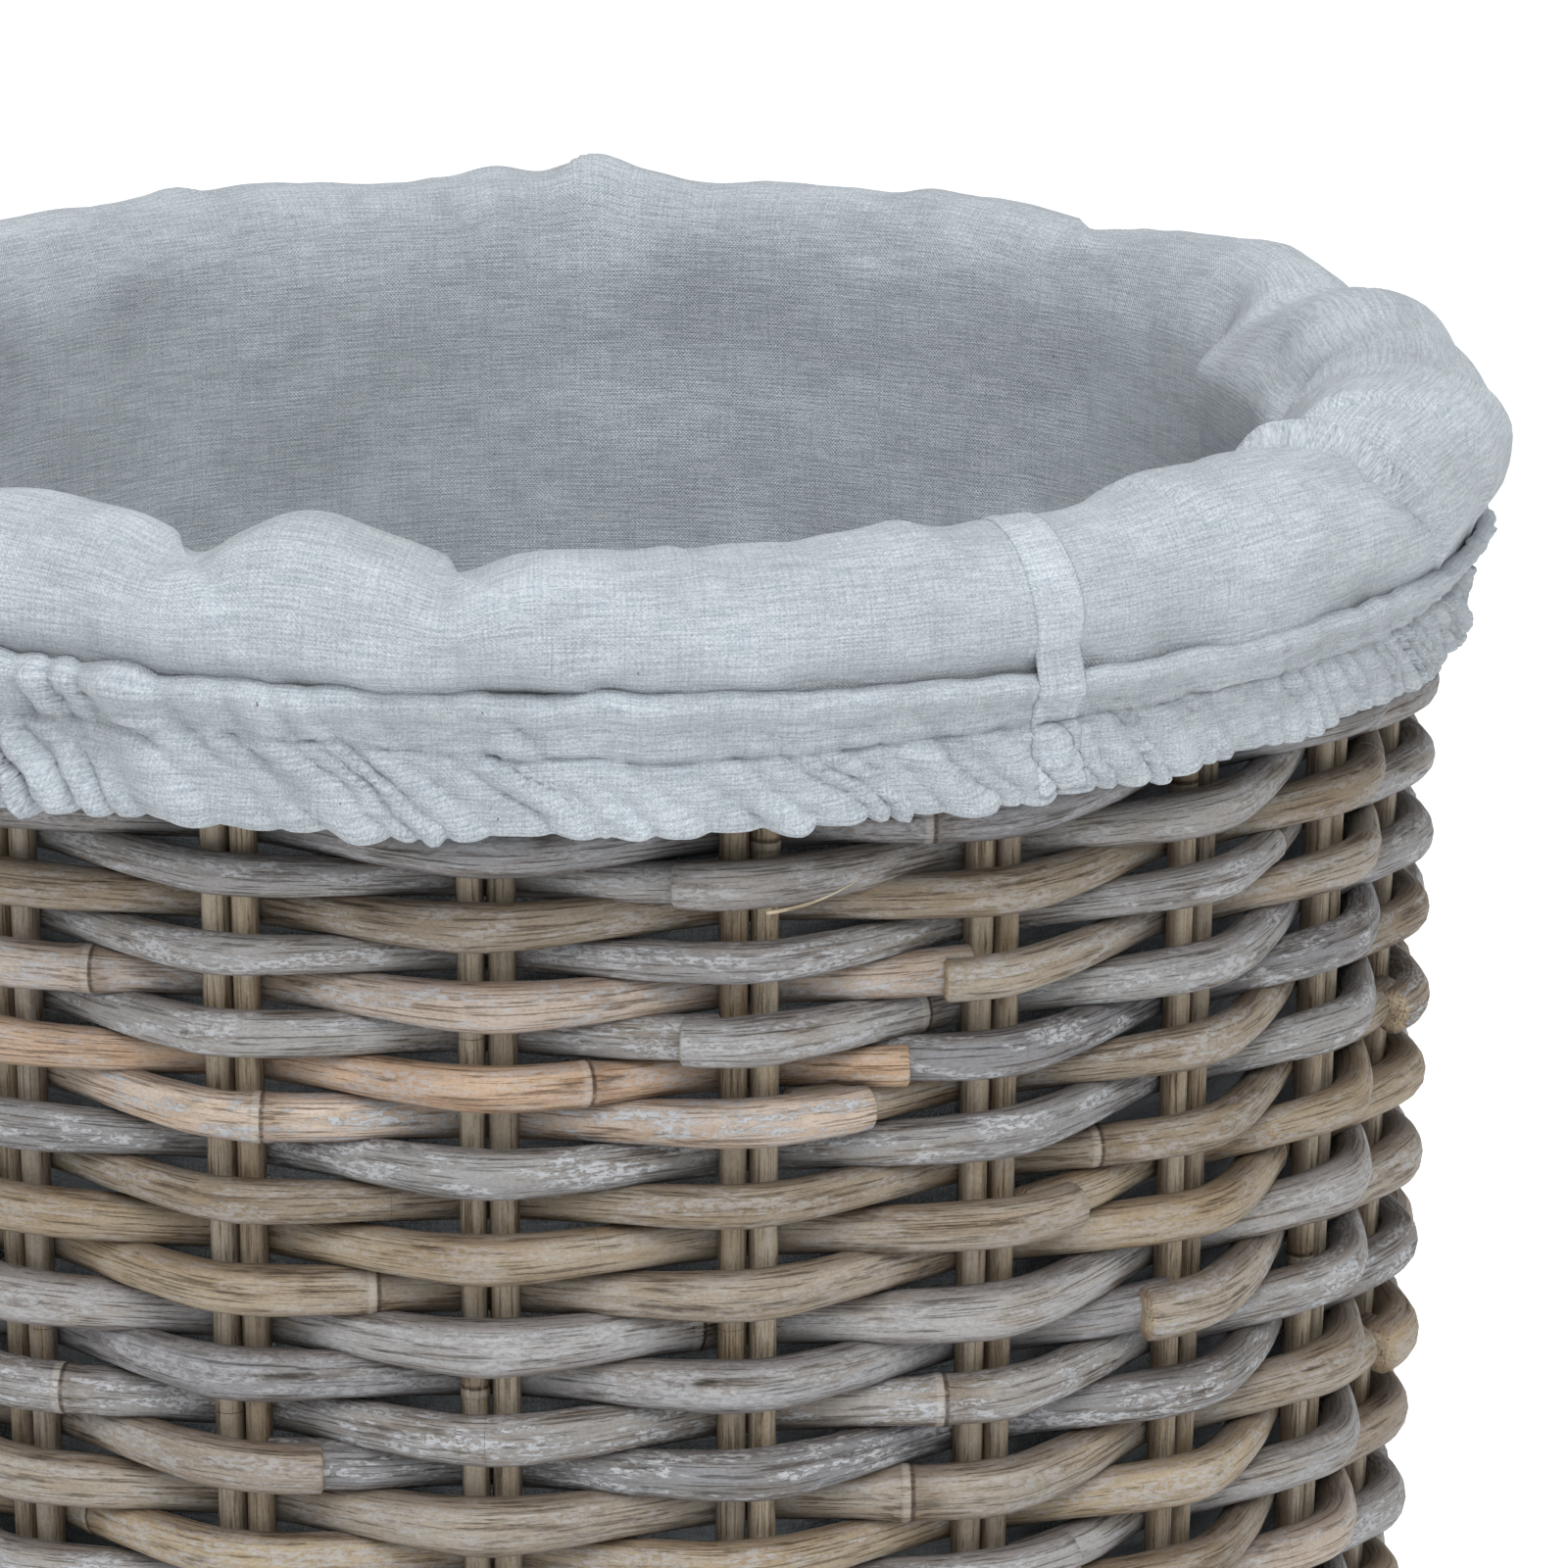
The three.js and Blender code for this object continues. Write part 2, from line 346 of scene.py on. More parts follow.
class Canes:
    """Collects strands of cane, each a closed round rod with cut ends, into one mesh."""

    def __init__(self):
        self.parts = []
        self.count = 0
        self.faces = []

    def add(self, line, radius, tint, sides=12, reference=None, node_gap=0.26, tall=1.0, lime=None):
        """Adds the strand whose middle runs through the points of line.

        radius, tint and tall (height over width) are one value, or one a point. reference points to the outer
        side, away from the basket's axis if it isn't given. lime is how much lime-wash is left.
        """
        lime = rng.random() if lime is None else lime
        count = len(line)
        seed = rng.random()
        length = np.concatenate([[0], np.cumsum(np.linalg.norm(np.diff(line, axis=0), axis=1))])
        ring = self.ring_distance(length, node_gap)
        radius = self.uneven(radius, length, ring)
        tint = np.broadcast_to(np.asarray(tint, float), (count, 3))
        tint = np.concatenate([tint, np.full((count, 1), lime)], axis=1)
        tangent, out, side = self.section_axes(line, reference)
        side = side * np.broadcast_to(tall, (count,))[:, None]

        turn = np.arange(sides) * TAU / sides
        squash = 1 + 0.03 * np.sin(2 * turn + seed * TAU)[None, :]
        reach = radius[:, None] * squash
        cosine, sine = np.cos(turn), np.sin(turn)
        around = cosine[None, :, None] * out[:, None, :] + sine[None, :, None] * side[:, None, :]
        rings = line[:, None, :] + reach[..., None] * around
        place = (length[:, None] + 7.3 * seed, radius[:, None] * cosine, radius[:, None] * sine)
        place = np.stack(np.broadcast_arrays(*place), axis=-1)

        first = self.count
        index = first + np.arange(count * sides).reshape(count, sides)
        beside = np.roll(index, -1, axis=1)
        quads = np.stack([index[:-1], beside[:-1], beside[1:], index[1:]], axis=-1)
        self.faces += quads.reshape(-1, 4).tolist()
        colours = np.repeat(tint[:, None, :], sides, axis=1)
        vertices = [rings.reshape(-1, 3)]
        places = [place.reshape(-1, 3)]
        tints = [colours.reshape(-1, 4)]
        distances = [np.repeat(ring, sides)]
        self.count += count * sides
        for end, way in ((0, -1), (-1, 1)):
            self.add_cut_end(index[end], rings[end], line[end], tangent[end] * way, place[end],
                             (vertices, places, tints, distances), way)
        self.parts.append([np.concatenate(x) for x in (vertices, places, tints, distances)])

    @staticmethod
    def uneven(radius, length, ring):
        """The radius at each point: it wavers along the strand and swells at each cane node."""
        radius = np.broadcast_to(np.asarray(radius, float), length.shape).copy()
        for wave, depth in ((0.13, 0.025), (0.047, 0.018), (0.019, 0.010)):
            radius *= 1 + depth * np.sin(length / wave * TAU + rng.random() * TAU)
        return radius * (1 + 0.07 * np.exp(-((ring / 0.0024) ** 2)))

    @staticmethod
    def section_axes(line, reference):
        """Unit vectors along the strand, towards its outer side, and square to both."""
        tangent = np.gradient(line, axis=0)
        tangent /= np.linalg.norm(tangent, axis=1, keepdims=True)
        reference = line * (1, 1, 0) if reference is None else np.broadcast_to(reference, line.shape)
        out = reference - tangent * np.sum(reference * tangent, axis=1, keepdims=True)
        out /= np.linalg.norm(out, axis=1, keepdims=True)
        return tangent, out, np.cross(tangent, out)

    @staticmethod
    def ring_distance(length, gap):
        """Signed distance along the strand to the nearest cane node."""
        at = [rng.uniform(-0.5, 0.5) * gap]
        while at[-1] < length[-1] + gap:
            at.append(at[-1] + gap * rng.uniform(0.6, 1.4))
        at = np.array(at)
        nearest = at[np.abs(length[:, None] - at[None, :]).argmin(axis=1)]
        return length - nearest

    def add_cut_end(self, edge, ring, middle, outward, place, lists, way):
        """Closes a strand with a small bevel and a pale cut face. way is -1 where it begins, 1 where it ends."""
        sides = len(edge)
        bevel = middle + (ring - middle) * 0.84 + outward * 0.0005
        vertices, places, tints, distances = lists
        vertices += [bevel, (middle + outward * 0.0006)[None, :]]
        places += [place, place.mean(axis=0)[None, :]]
        pale = np.array([*linear((196, 180, 156)), 0.0])
        tints += [np.repeat(pale[None, :], sides, 0), pale[None, :] * 0.7]
        distances.append(np.full(sides + 1, 0.05))
        inner = self.count + np.arange(sides)
        hub = self.count + sides
        self.count += sides + 1
        for i in range(sides):
            j = (i + 1) % sides
            quad = [edge[i], inner[i], inner[j], edge[j]]
            cap = [inner[i], hub, inner[j]]
            if way > 0:
                quad.reverse()
                cap.reverse()
            self.faces.append([int(v) for v in quad])
            self.faces.append([int(v) for v in cap])

    def make(self, name, material):
        vertices, places, tints, distances = (np.concatenate(x) for x in zip(*self.parts))
        attributes = {"cane": places, "tint": tints, "ring": distances}
        return new_object(name, vertices, self.faces, attributes, material)


def strand_tint(main, other, length):
    """Colours along a strand: mostly main, drifting towards other in places."""
    phase = rng.random() * TAU
    drift = 0.5 + 0.5 * np.sin(length / rng.uniform(0.25, 0.6) * TAU + phase)
    drift = smooth(drift * 1.6 - 0.6) * 0.6
    value = rng.uniform(0.84, 1.06)
    main = np.array(linear(CANE_COLOURS[main])) * value
    other = np.array(linear(CANE_COLOURS[other])) * value
    return main[None, :] * (1 - drift[:, None]) + other[None, :] * drift[:, None]


def finish_piece(piece, body, slot, *nodes):
    """The closing calls of every piece: what it rides on and the CAD nodes that it stands for. slot, its finish,
    is not used.
    """
    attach(piece, body)
    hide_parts(*nodes)
    return piece


# ---------------------------------------------------------------- side wall

TOP_ROW = 45  # the highest row that shows under the cuff
SETTLE = 4.6 * MM  # how much higher the rows sit than evenly spaced ones, at most
SETTLE_ROWS = 17  # over this many rows, after which they sit lower by as much
SWING = 0.91  # nearer to 1, a strand bends more sharply at the stakes and runs straighter between them
# Colours of the rows at the front, from the cuff down, and what the rest is picked from
ROW_COLOURS = ("slate ash taupe ash peach ash rust peach lime taupe tan greige ash slate "
               "ash greige greige tan ash taupe peach ash slate tan ash greige").split()
COMMON = ["ash", "ash", "slate", "greige", "greige", "taupe", "tan", "ash", "peach", "lime"]
LIME_WASH = {"lime": 1.3, "ash": 0.9, "slate": 0.6, "peach": 0.9, "rust": 0.7}  # 0.4 on the others
OVER, UNDER = 3.2 * MM, -3.2 * MM  # how far a strand's end lies off its line at a splice
# Splices that show: row below the cuff, pairs round from the front, and where the old strand ends and the
# new one begins, in pairs from there, with how far each lies off its line
FRONT_SPLICES = [
    (1, 1, (-0.13, UNDER), (-0.30, OVER), "ash"),
    (4, 2, (-0.13, UNDER), (-0.26, OVER), "greige"),
    (5, 1, (-0.13, UNDER), (-0.27, OVER), "lime"),
    (6, 2, (-0.40, OVER), (-0.66, UNDER), "slate"),
    (7, 1, (0.44, OVER), (0.15, UNDER), "taupe"),
    (11, -3, (0.30, OVER), (0.13, UNDER), "tan"),
    (13, 3, (-0.13, UNDER), (-0.30, OVER), "greige"),
    (15, -1, (0.35, OVER), (0.13, UNDER), "slate"),
]


def level_of(t):
    """Rows below a point of the weave that is t pairs along from the front of the lowest row."""
    return t / PAIRS + 0.5


def settle(level):
    """Rows near the top are thinner and packed closer, so those below them sit a little high."""
    down = TOP_ROW + 0.5 - level
    fade = smooth(down / 2) * smooth((level - 2) / 10)
    return SETTLE * np.sin(math.pi * down / SETTLE_ROWS) * fade


def row_height(t):
    """Level of the weave t pairs along."""
    level = level_of(t)
    return WEAVE_BOTTOM + ROW_PITCH * level + settle(level)


def row_share(t):
    """Height of the rows here as a share of the mean."""
    return np.clip((row_height(t + PAIRS / 2) - row_height(t - PAIRS / 2)) / ROW_PITCH, 0.88, 1.1)


def woven_line(t, thickness, lift):
    """In front of one pair and behind the next, nearly straight between them."""
    swing = np.arcsin(-SWING * np.cos(math.pi * t)) / math.asin(SWING)
    z = row_height(t)
    radius = wall(z) + swing * (STAKE + thickness / 2) + lift
    return on_circle(radius, t * STEP, z)


def splices(first, last):
    """Where one strand gives way to the next: (front pair, old one's end, new one's beginning and colour)."""
    shown = [(PAIRS * (TOP_ROW - row) + pairs, *rest) for row, pairs, *rest in FRONT_SPLICES]
    shown = [joint for joint in shown if first + 6 < joint[0] < last - 6]
    places = []
    t = first + rng.randint(9, 20)
    while t < last - 8:
        front = 2 * round((t - 1) / 2) + 1
        near = [joint for joint in shown if abs(joint[0] - front) < 12]
        if not near:
            if rng.random() < 0.5:
                places.append((front, (-0.13, UNDER), (-0.30, OVER), None))
            else:
                places.append((front, (0.32, OVER), (0.13, UNDER), None))
        t = front + rng.choice([13, 15, 16, 18, 20, 22, 25])
    return sorted(places + shown, key=lambda joint: joint[0])


def weave_course(name, number):
    """One course of whole rows, in strands that follow on from each other round the basket."""
    canes = Canes()
    pairs_passed = PAIRS * ROWS // len(COURSES)
    start = number * pairs_passed - PAIRS / 2
    finish = start + pairs_passed
    begin, begin_lift, colour = start, 0.0, None
    for front, old, new, next_colour in splices(start, finish):
        add_weaver(canes, begin, front + old[0], begin_lift, old[1], colour)
        begin, begin_lift, colour = front + new[0], new[1], next_colour
    add_weaver(canes, begin, finish, begin_lift, 0.0, colour)
    if number == len(COURSES) - 1:
        add_splinter(canes)
    piece = canes.make(name + "_weavers", weaver_cane)
    return finish_piece(piece, "basket", "weaver_cane", name)


def weaver_tint(t, begin_colour):
    """Colours along a strand, and its lime-wash. A row keeps one colour until it changes over at the back."""
    turn = np.round(t / PAIRS).astype(int)
    first = turn[0]
    names = {}
    for k in range(first - 1, turn[-1] + 2):
        row = TOP_ROW - k
        names[k] = ROW_COLOURS[row] if 0 <= row < len(ROW_COLOURS) else COMMON[(k * 7) % len(COMMON)]
    if begin_colour:
        names[first] = begin_colour
    colours = {k: np.array(linear(CANE_COLOURS[name])) for k, name in names.items()}
    here = np.array([colours[k] for k in turn])
    there = np.array([colours[k + 1] for k in turn])
    share = smooth((t - (turn + 0.36) * PAIRS) / (0.14 * PAIRS))[:, None]
    tint = (here * (1 - share) + there * share) * rng.uniform(0.78, 1.0)
    other = np.array(linear(CANE_COLOURS[rng.choice(COMMON)]))
    drift = smooth(np.sin(t / rng.uniform(1.2, 3.0) + rng.random() * TAU) * 0.8 - 0.2)[:, None] * 0.4
    lime = LIME_WASH.get(names[turn[len(t) // 2]], 0.4) * rng.uniform(0.6, 1.2)
    return tint * (1 - drift) + other * drift, lime


def add_weaver(canes, begin, end, lift_at_begin, lift_at_end, colour):
    """One strand of the weave, from begin to end in pairs, with its ends lifted off its line."""
    per_pair = 18
    t = np.linspace(begin, end, max(8, int((end - begin) * per_pair)))
    thickness = WEAVER * row_share(t) * rng.uniform(0.96, 1.03)
    lift = lift_at_begin * smooth(1 - (t - begin) / 0.45) + lift_at_end * smooth(1 - (end - t) / 0.45)
    line = woven_line(t, thickness, lift)
    phase = rng.random() * TAU
    line[:, 2] += 0.4 * MM * np.sin(t * 1.9 + phase) + 0.35 * MM * np.sin(t * 0.83 + 2 * phase)
    bent = np.abs(np.cos(math.pi * t))
    tall = (1.10 + 0.11 * bent ** 2) * rng.uniform(0.95, 1.05)
    tint, lime = weaver_tint(t, colour)
    canes.add(line, thickness / 2, tint, sides=14, node_gap=0.34, tall=tall, lime=lime)


def add_splinter(canes):
    """A thin sliver that stands off a strand under the cuff."""
    share = np.linspace(0, 1, 12)
    t = PAIRS * (TOP_ROW - 1) + 1.02 + 0.36 * share
    radius = wall(row_height(t)) + STAKE + WEAVER * (1.02 - 0.34 * share)
    line = on_circle(radius, t * STEP, row_height(t) - (5.4 - 5.0 * share ** 2) * MM)
    canes.add(line, 0.45 * MM * (1.1 - share * 0.9), linear(CANE_COLOURS["straw"]), sides=6)


for number, course in enumerate(COURSES):
    weave_course(course, number)


# ---------------------------------------------------------------- stakes

def add_stakes():
    low, high = bottom_of("stake_01_left"), top_of("stake_01_left")
    z = np.linspace(low, high, 90)
    for i in range(PAIRS):
        theta = i * STEP
        along = on_circle(1.0, theta + math.pi / 2, 0.0)
        for side, sign in (("left", -1), ("right", 1)):
            sway = 0.25 * MM * np.sin(z / 0.09 + rng.random() * TAU)
            line = on_circle(wall(z) + sway, theta, z) + along * (sign * STAKE_APART)
            main = rng.choice(["buff", "straw", "buff", "tan"])
            other = rng.choice(["greige", "bark", "straw"])
            canes = Canes()
            radius = STAKE * rng.uniform(0.94, 1.0)
            canes.add(line, radius, strand_tint(main, other, z), sides=12, node_gap=0.22)
            name = f"stake_{i + 1:02d}_{side}"
            finish_piece(canes.make(name + "_rod", stake_cane), "basket", "stake_cane", name)


add_stakes()


# ---------------------------------------------------------------- wales and borders

def add_wale(node, rounds, thickness):
    """Three-rod wale: each rod in front of two pairs and behind one, the next one pair further on."""
    low = bottom_of(node)
    round_height = (top_of(node) - low) / rounds
    rise = round_height - thickness
    canes = Canes()
    for level in range(rounds):
        middle = low + (level + 0.5) * round_height
        for rod in range(3):
            t = np.linspace(0, PAIRS, PAIRS * 14 + 1) + rng.uniform(0, PAIRS)
            phase = (t + rod) % 3
            out = smooth(phase) - smooth(phase - 2)
            high = smooth((phase + 0.4) / 0.8) - smooth(phase - 1) + smooth((phase - 2.6) / 0.8)
            z = middle + (2 * high - 1) * rise / 2
            radius = wall(z) + (2 * out - 1) * (STAKE + thickness / 2)
            line = on_circle(radius, t * STEP, z)
            main, other = rng.choice(["greige", "taupe", "ash", "bark"]), rng.choice(COMMON)
            tint = strand_tint(main, other, t * STEP * 0.19)
            canes.add(line, thickness / 2, tint, sides=10)
    piece = canes.make(node + "_rods", border_cane)
    return finish_piece(piece, "basket", "border_cane", node)


def add_rolled_border(node, strands, turns, thickness):
    """Strands laid side by side round a ring's oval section, as on a rolled border."""
    low, high = bottom_of(node), top_of(node)
    middle = (low + high) / 2
    half_height = (high - low - thickness) / 2 - 0.3 * MM
    half_width = (outer_of(node) - wall(middle)) - thickness / 2
    canes = Canes()
    for strand in range(strands):
        theta = np.linspace(0, TAU, turns * 26 + 1) + rng.uniform(0, TAU)
        around = turns * theta + strand * TAU / strands
        radius = wall(middle) + half_width * np.cos(around)
        line = on_circle(radius, theta, middle + half_height * np.sin(around))
        tint = strand_tint(rng.choice(["greige", "taupe", "ash", "tan"]), rng.choice(COMMON), theta * 0.19)
        canes.add(line, thickness / 2, tint, sides=10)
    piece = canes.make(node + "_strands", border_cane)
    return finish_piece(piece, "basket", "border_cane", node)


add_wale("upset_wale", 2, 6.0 * MM)
add_wale("top_wale", 1, 6.6 * MM)
add_rolled_border("foot_border", 5, 17, 6.9 * MM)
add_rolled_border("rim_border", 5, 22, 6.9 * MM)


def add_hoop():
    """The rod inside the rim border, its ends scarfed past each other."""
    low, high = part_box("rim_hoop")
    middle = (low.z + high.z) / 2
    radius = -low.y - (high.z - low.z) / 2
    theta = np.linspace(0, TAU * 0.995, 260) + 2.4
    canes = Canes()
    line = on_circle(radius, theta, middle)
    canes.add(line, 4.4 * MM, strand_tint("tan", "greige", theta * radius), sides=12)
    return finish_piece(canes.make("rim_hoop_rod", stake_cane), "basket", "stake_cane", "rim_hoop")


add_hoop()


# ---------------------------------------------------------------- base

BASE_STICK = 2.1 * MM
BASE_STRAND = 5.0 * MM
BASE_SPOKES = 20
BASE_CENTRE = (bottom_of("base_weave") + top_of("base_sticks_over")) / 2
BASE_OUTER = outer_of("base_weave") - BASE_STRAND / 2


def add_base_sticks(node, angle, height):
    """Five sticks side by side at the middle that splay out to their places as spokes."""
    canes = Canes()
    square = 24 * MM
    for i in range(-2, 3):
        reach = np.linspace(-1, 1, 61)
        span = reach * (BASE_OUTER - 2 * MM)
        spread = i * TAU / BASE_SPOKES
        beside = i * 4.6 * MM
        fan = smooth((np.abs(span) - square) / (60 * MM))
        x = span * np.cos(spread * fan)
        y = beside * (1 - fan) + np.abs(span) * np.sin(spread) * fan
        z = BASE_CENTRE + height * (1 - smooth((np.abs(span) - 0.6 * square) / (20 * MM)))
        turned_x = x * math.cos(angle) - y * math.sin(angle) * np.sign(span)
        turned_y = x * math.sin(angle) + y * math.cos(angle) * np.sign(span)
        line = np.stack([turned_x, turned_y, z], axis=-1)
        middle = len(reach) // 2
        line[middle] = (line[middle - 1] + line[middle + 1]) / 2
        tint = strand_tint(rng.choice(["tan", "greige"]), "buff", reach * 0.16 + 0.2)
        canes.add(line, BASE_STICK, tint, sides=8, reference=np.array([0, 0, 1.0]), node_gap=0.12)
    piece = canes.make(node + "_rods", base_cane)
    return finish_piece(piece, "basket", "base_cane", node)


def add_base_weave():
    """Two strands that twist past each other between the spokes, spiralling out to the edge."""
    canes = Canes()
    inner = 29 * MM
    pitch = 5.5 * MM
    turns = int((BASE_OUTER - inner) / pitch)
    t = np.linspace(0, turns * BASE_SPOKES, turns * BASE_SPOKES * 6 + 1)
    for sign in (1, -1):
        radius = inner + (BASE_OUTER - inner) * t / t[-1] + sign * 1.4 * MM * np.sin(math.pi * t)
        z = BASE_CENTRE + sign * np.cos(math.pi * t) * (BASE_STICK + BASE_STRAND / 2 - 0.3 * MM)
        line = on_circle(radius, t * TAU / BASE_SPOKES, z)
        cuts = np.linspace(0, len(t) - 1, 9).astype(int)
        for a, b in zip(cuts[:-1], cuts[1:]):
            length = t[a:b + 1] * TAU / BASE_SPOKES * 0.09
            tint = strand_tint(rng.choice(["tan", "greige", "taupe", "ash"]), rng.choice(COMMON), length)
            canes.add(line[a:b + 1], BASE_STRAND / 2, tint, sides=7, node_gap=0.15)
    piece = canes.make("base_weave_strands", base_cane)
    return finish_piece(piece, "basket", "base_cane", "base_weave")


add_base_sticks("base_sticks_under", 0.0, -2.2 * MM)
add_base_sticks("base_sticks_over", math.pi / 2, 2.2 * MM)
add_base_weave()


# ---------------------------------------------------------------- liner

CLOTH = 0.9 * MM
LINER_FLOOR = bottom_of("liner_body")
FIRST_LEVEL = LINER_FLOOR + 1.2 * MM
FULL_FROM = 440 * MM  # above this level the bag begins to stand off the wall at the right
RIM_MIDDLE = wall(top_of("rim_border")) + 0.6 * MM
CREST = top_of("liner_body") + 0.2 * MM
ROLL_HEIGHT = 521.5 * MM  # level of the roll's widest place
ROLL_BELOW = 14 * MM  # height of the roll's section under that level
BULGE = 210.8 * MM
TUCK = math.radians(38)  # how far round under the roll the cloth goes before the casing
WALL_ROWS, ROLL_ROWS = 34, 36
CREST_SHARE = 0.44  # where the crest lies among the roll's rows
CASING_TOP = top_of("hem_casing")
CASING_BOTTOM = bottom_of("hem_casing")
CASING_INNER = outer_of("hem_casing") - 4.0 * MM
CASING_ROWS = 31  # down its outer layer
EDGE_ROWS = 5  # round its lower edge, and up its inner layer

# Soft puffs and dips of the cloth over the rim: (angle from the front, half-width, height in mm)
PUFFS = [
    (-31, 7.0, 4.0), (-19.5, 3.4, -5.5), (-11.3, 4.4, 5.0), (-1.6, 3.0, -7.0), (8, 6, 0.6), (27.5, 1.8, 1.2),
    (52, 11, 4.0), (66.5, 2.0, -6.0), (77, 9, 4.0), (96, 7, 2.0), (107, 4.5, 4.0), (118, 3.2, -4.0),
    (127, 3.5, 2.0), (145, 5, -3.0), (158, 4, 1.5), (173, 4, -2.0), (184, 3.4, 5.0), (190.5, 2.4, 3.2),
    (206, 8, 1.5), (228, 9, 1.0), (250, 7, 2.5), (268, 5, -3.5), (285, 8, 3.0), (303, 4, -4.0), (316, 6, 2.5),
]
# The same for how much lower the roll hangs towards the right, where the cloth is fullest
SAGS = [(54, 28, 4.6), (101, 25, 10.0)]
# Folds down the outside of the roll: (angle at the crest, degrees of slant, height in mm, high side)
ROLL_FOLDS = [
    (-19.5, 9, 3.2, -1), (-1.6, 10, 3.4, -1), (13, 6, 1.2, -1), (28, 8, 1.2, -1), (45, 9, 1.4, 1),
    (61.5, 12, 6.5, 1), (72, 12, 2.6, 1), (84, 9, 2.6, -1), (118, -12, 2.0, -1), (145, 10, 1.8, 1),
    (184, -10, 2.0, -1), (214, 11, 1.6, 1), (240, -9, 1.8, -1), (268, -14, 2.4, -1), (303, 12, 2.4, 1),
]
# Dents where the cloth bunches: (angle, height over the rim's middle, half-widths in degrees and mm, depth)
DENTS = [(97, 6, 3.0, 9, 6.5), (88, 13, 3.5, 5, 3.0), (106, 12, 4.0, 6, 2.5), (-33, 4, 4.0, 8, 2.5)]

seam_low, seam_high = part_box("side_seam")
SEAM_MIDDLE = math.degrees(math.atan2(seam_low.x + seam_high.x, -seam_low.y - seam_high.y)) - 1.3
SEAM_HALF = 1.6  # degrees either side


def wrapped(degrees):
    """An angle from -180 to 180 degrees."""
    return (degrees + 180) % 360 - 180


def near(degrees, at, half_width):
    """A bell curve round the basket: 1 at one angle, fading to either side."""
    return np.exp(-((wrapped(degrees - at) / half_width) ** 2))


def bumps(degrees, features):
    """The sum of soft bumps, each an (angle, half-width, height in mm)."""
    total = np.zeros_like(degrees)
    for at, half_width, high in features:
        total += high * MM * near(degrees, at, half_width)
    return total


def sag(degrees):
    return bumps(degrees, SAGS)


def cloth_noise(points, scale, octaves=2):
    """Smooth noise from about -1 to 1 at each point."""
    flat = points.reshape(-1, 3) * scale
    values = np.array([noise.fractal(Vector(p), 1.0, 2.0, octaves) for p in flat])
    return values.reshape(points.shape[:-1])


def cloth_grid(name, points, across, along, material, closed=True, hub=False, thickness=CLOTH):
    """A sheet from a grid of points, rows along the cloth and columns round it, given its thickness.

    across and along are each point's place on the cloth. closed joins the last column to the first, and hub
    fills the hole inside the first row.
    """
    rows, columns = points.shape[:2]
    index = np.arange(rows * columns).reshape(rows, columns)
    if closed:
        right = np.roll(index, -1, axis=1)
        faces = np.stack([index[:-1], right[:-1], right[1:], index[1:]], axis=-1)
    else:
        faces = np.stack([index[:-1, :-1], index[:-1, 1:], index[1:, 1:], index[1:, :-1]], axis=-1)
    faces = faces.reshape(-1, 4).tolist()
    if hub:
        faces.append(list(range(columns)))
    place = np.stack([across, along, np.zeros_like(across)], axis=-1).reshape(-1, 3)
    piece = new_object(name, points.reshape(-1, 3), faces, {"cloth": place}, material)
    thick = piece.modifiers.new("thickness", "SOLIDIFY")
    thick.thickness = thickness
    thick.offset = 0
    return piece


def profile_length(points):
    """Mean length along the cloth to each row, so that its threads run straight."""
    steps = np.linalg.norm(np.diff(points, axis=0), axis=-1).mean(axis=1)
    length = np.concatenate([[0], np.cumsum(steps)])
    return np.broadcast_to(length[:, None], points.shape[:2])


def normals_of(points, closed):
    """The cloth's normals, towards the side that shows."""
    if closed:
        across = np.roll(points, -1, axis=1) - np.roll(points, 1, axis=1)
    else:
        across = np.gradient(points, axis=1)
    normal = np.cross(np.gradient(points, axis=0), across)
    return normal / np.linalg.norm(normal, axis=-1, keepdims=True)


def liner_surface(degrees):
    """Points of the cloth from the bag's floor up the inside, over the rim and down to the casing."""
    theta = np.radians(degrees)
    bag_clear = HALF_WALL + 1.3 * MM
    inner_puff = 15.0 * MM * smooth((123 - wrapped(degrees)) / 6) * smooth((wrapped(degrees) - 60) / 24)
    inner_puff += bumps(degrees, [(250, 16, 3.0)])
    rows = []
    for i in range(WALL_ROWS):
        z = FIRST_LEVEL + i / WALL_ROWS * (ROLL_HEIGHT - FIRST_LEVEL)
        near_top = smooth((z - FULL_FROM) / (ROLL_HEIGHT - FULL_FROM))
        rows.append(on_circle(wall(z) - bag_clear - inner_puff * near_top ** 1.5, theta, z))

    inner = RIM_MIDDLE - (wall(ROLL_HEIGHT) - bag_clear) + inner_puff
    outer = BULGE + bumps(degrees, [(92, 26, 1.8)]) - RIM_MIDDLE
    outer += 1.2 * MM * np.sin(theta * 5 + 1.0) + 0.8 * MM * np.sin(theta * 9 + 2.0)
    above = CREST + bumps(degrees, PUFFS) - ROLL_HEIGHT
    below = ROLL_BELOW + sag(degrees) / math.sin(TUCK)
    for i in range(ROLL_ROWS):
        phi = math.pi - i / (ROLL_ROWS - 1) * (math.pi + TUCK)
        radius = RIM_MIDDLE + (inner if phi > math.pi / 2 else outer) * math.cos(phi)
        tuck = smooth(-phi / TUCK)
        radius = radius * (1 - tuck) + (CASING_INNER + 2.5 * MM) * tuck
        rows.append(on_circle(radius, theta, ROLL_HEIGHT + (above if phi > 0 else below) * math.sin(phi)))
    return np.stack(rows)


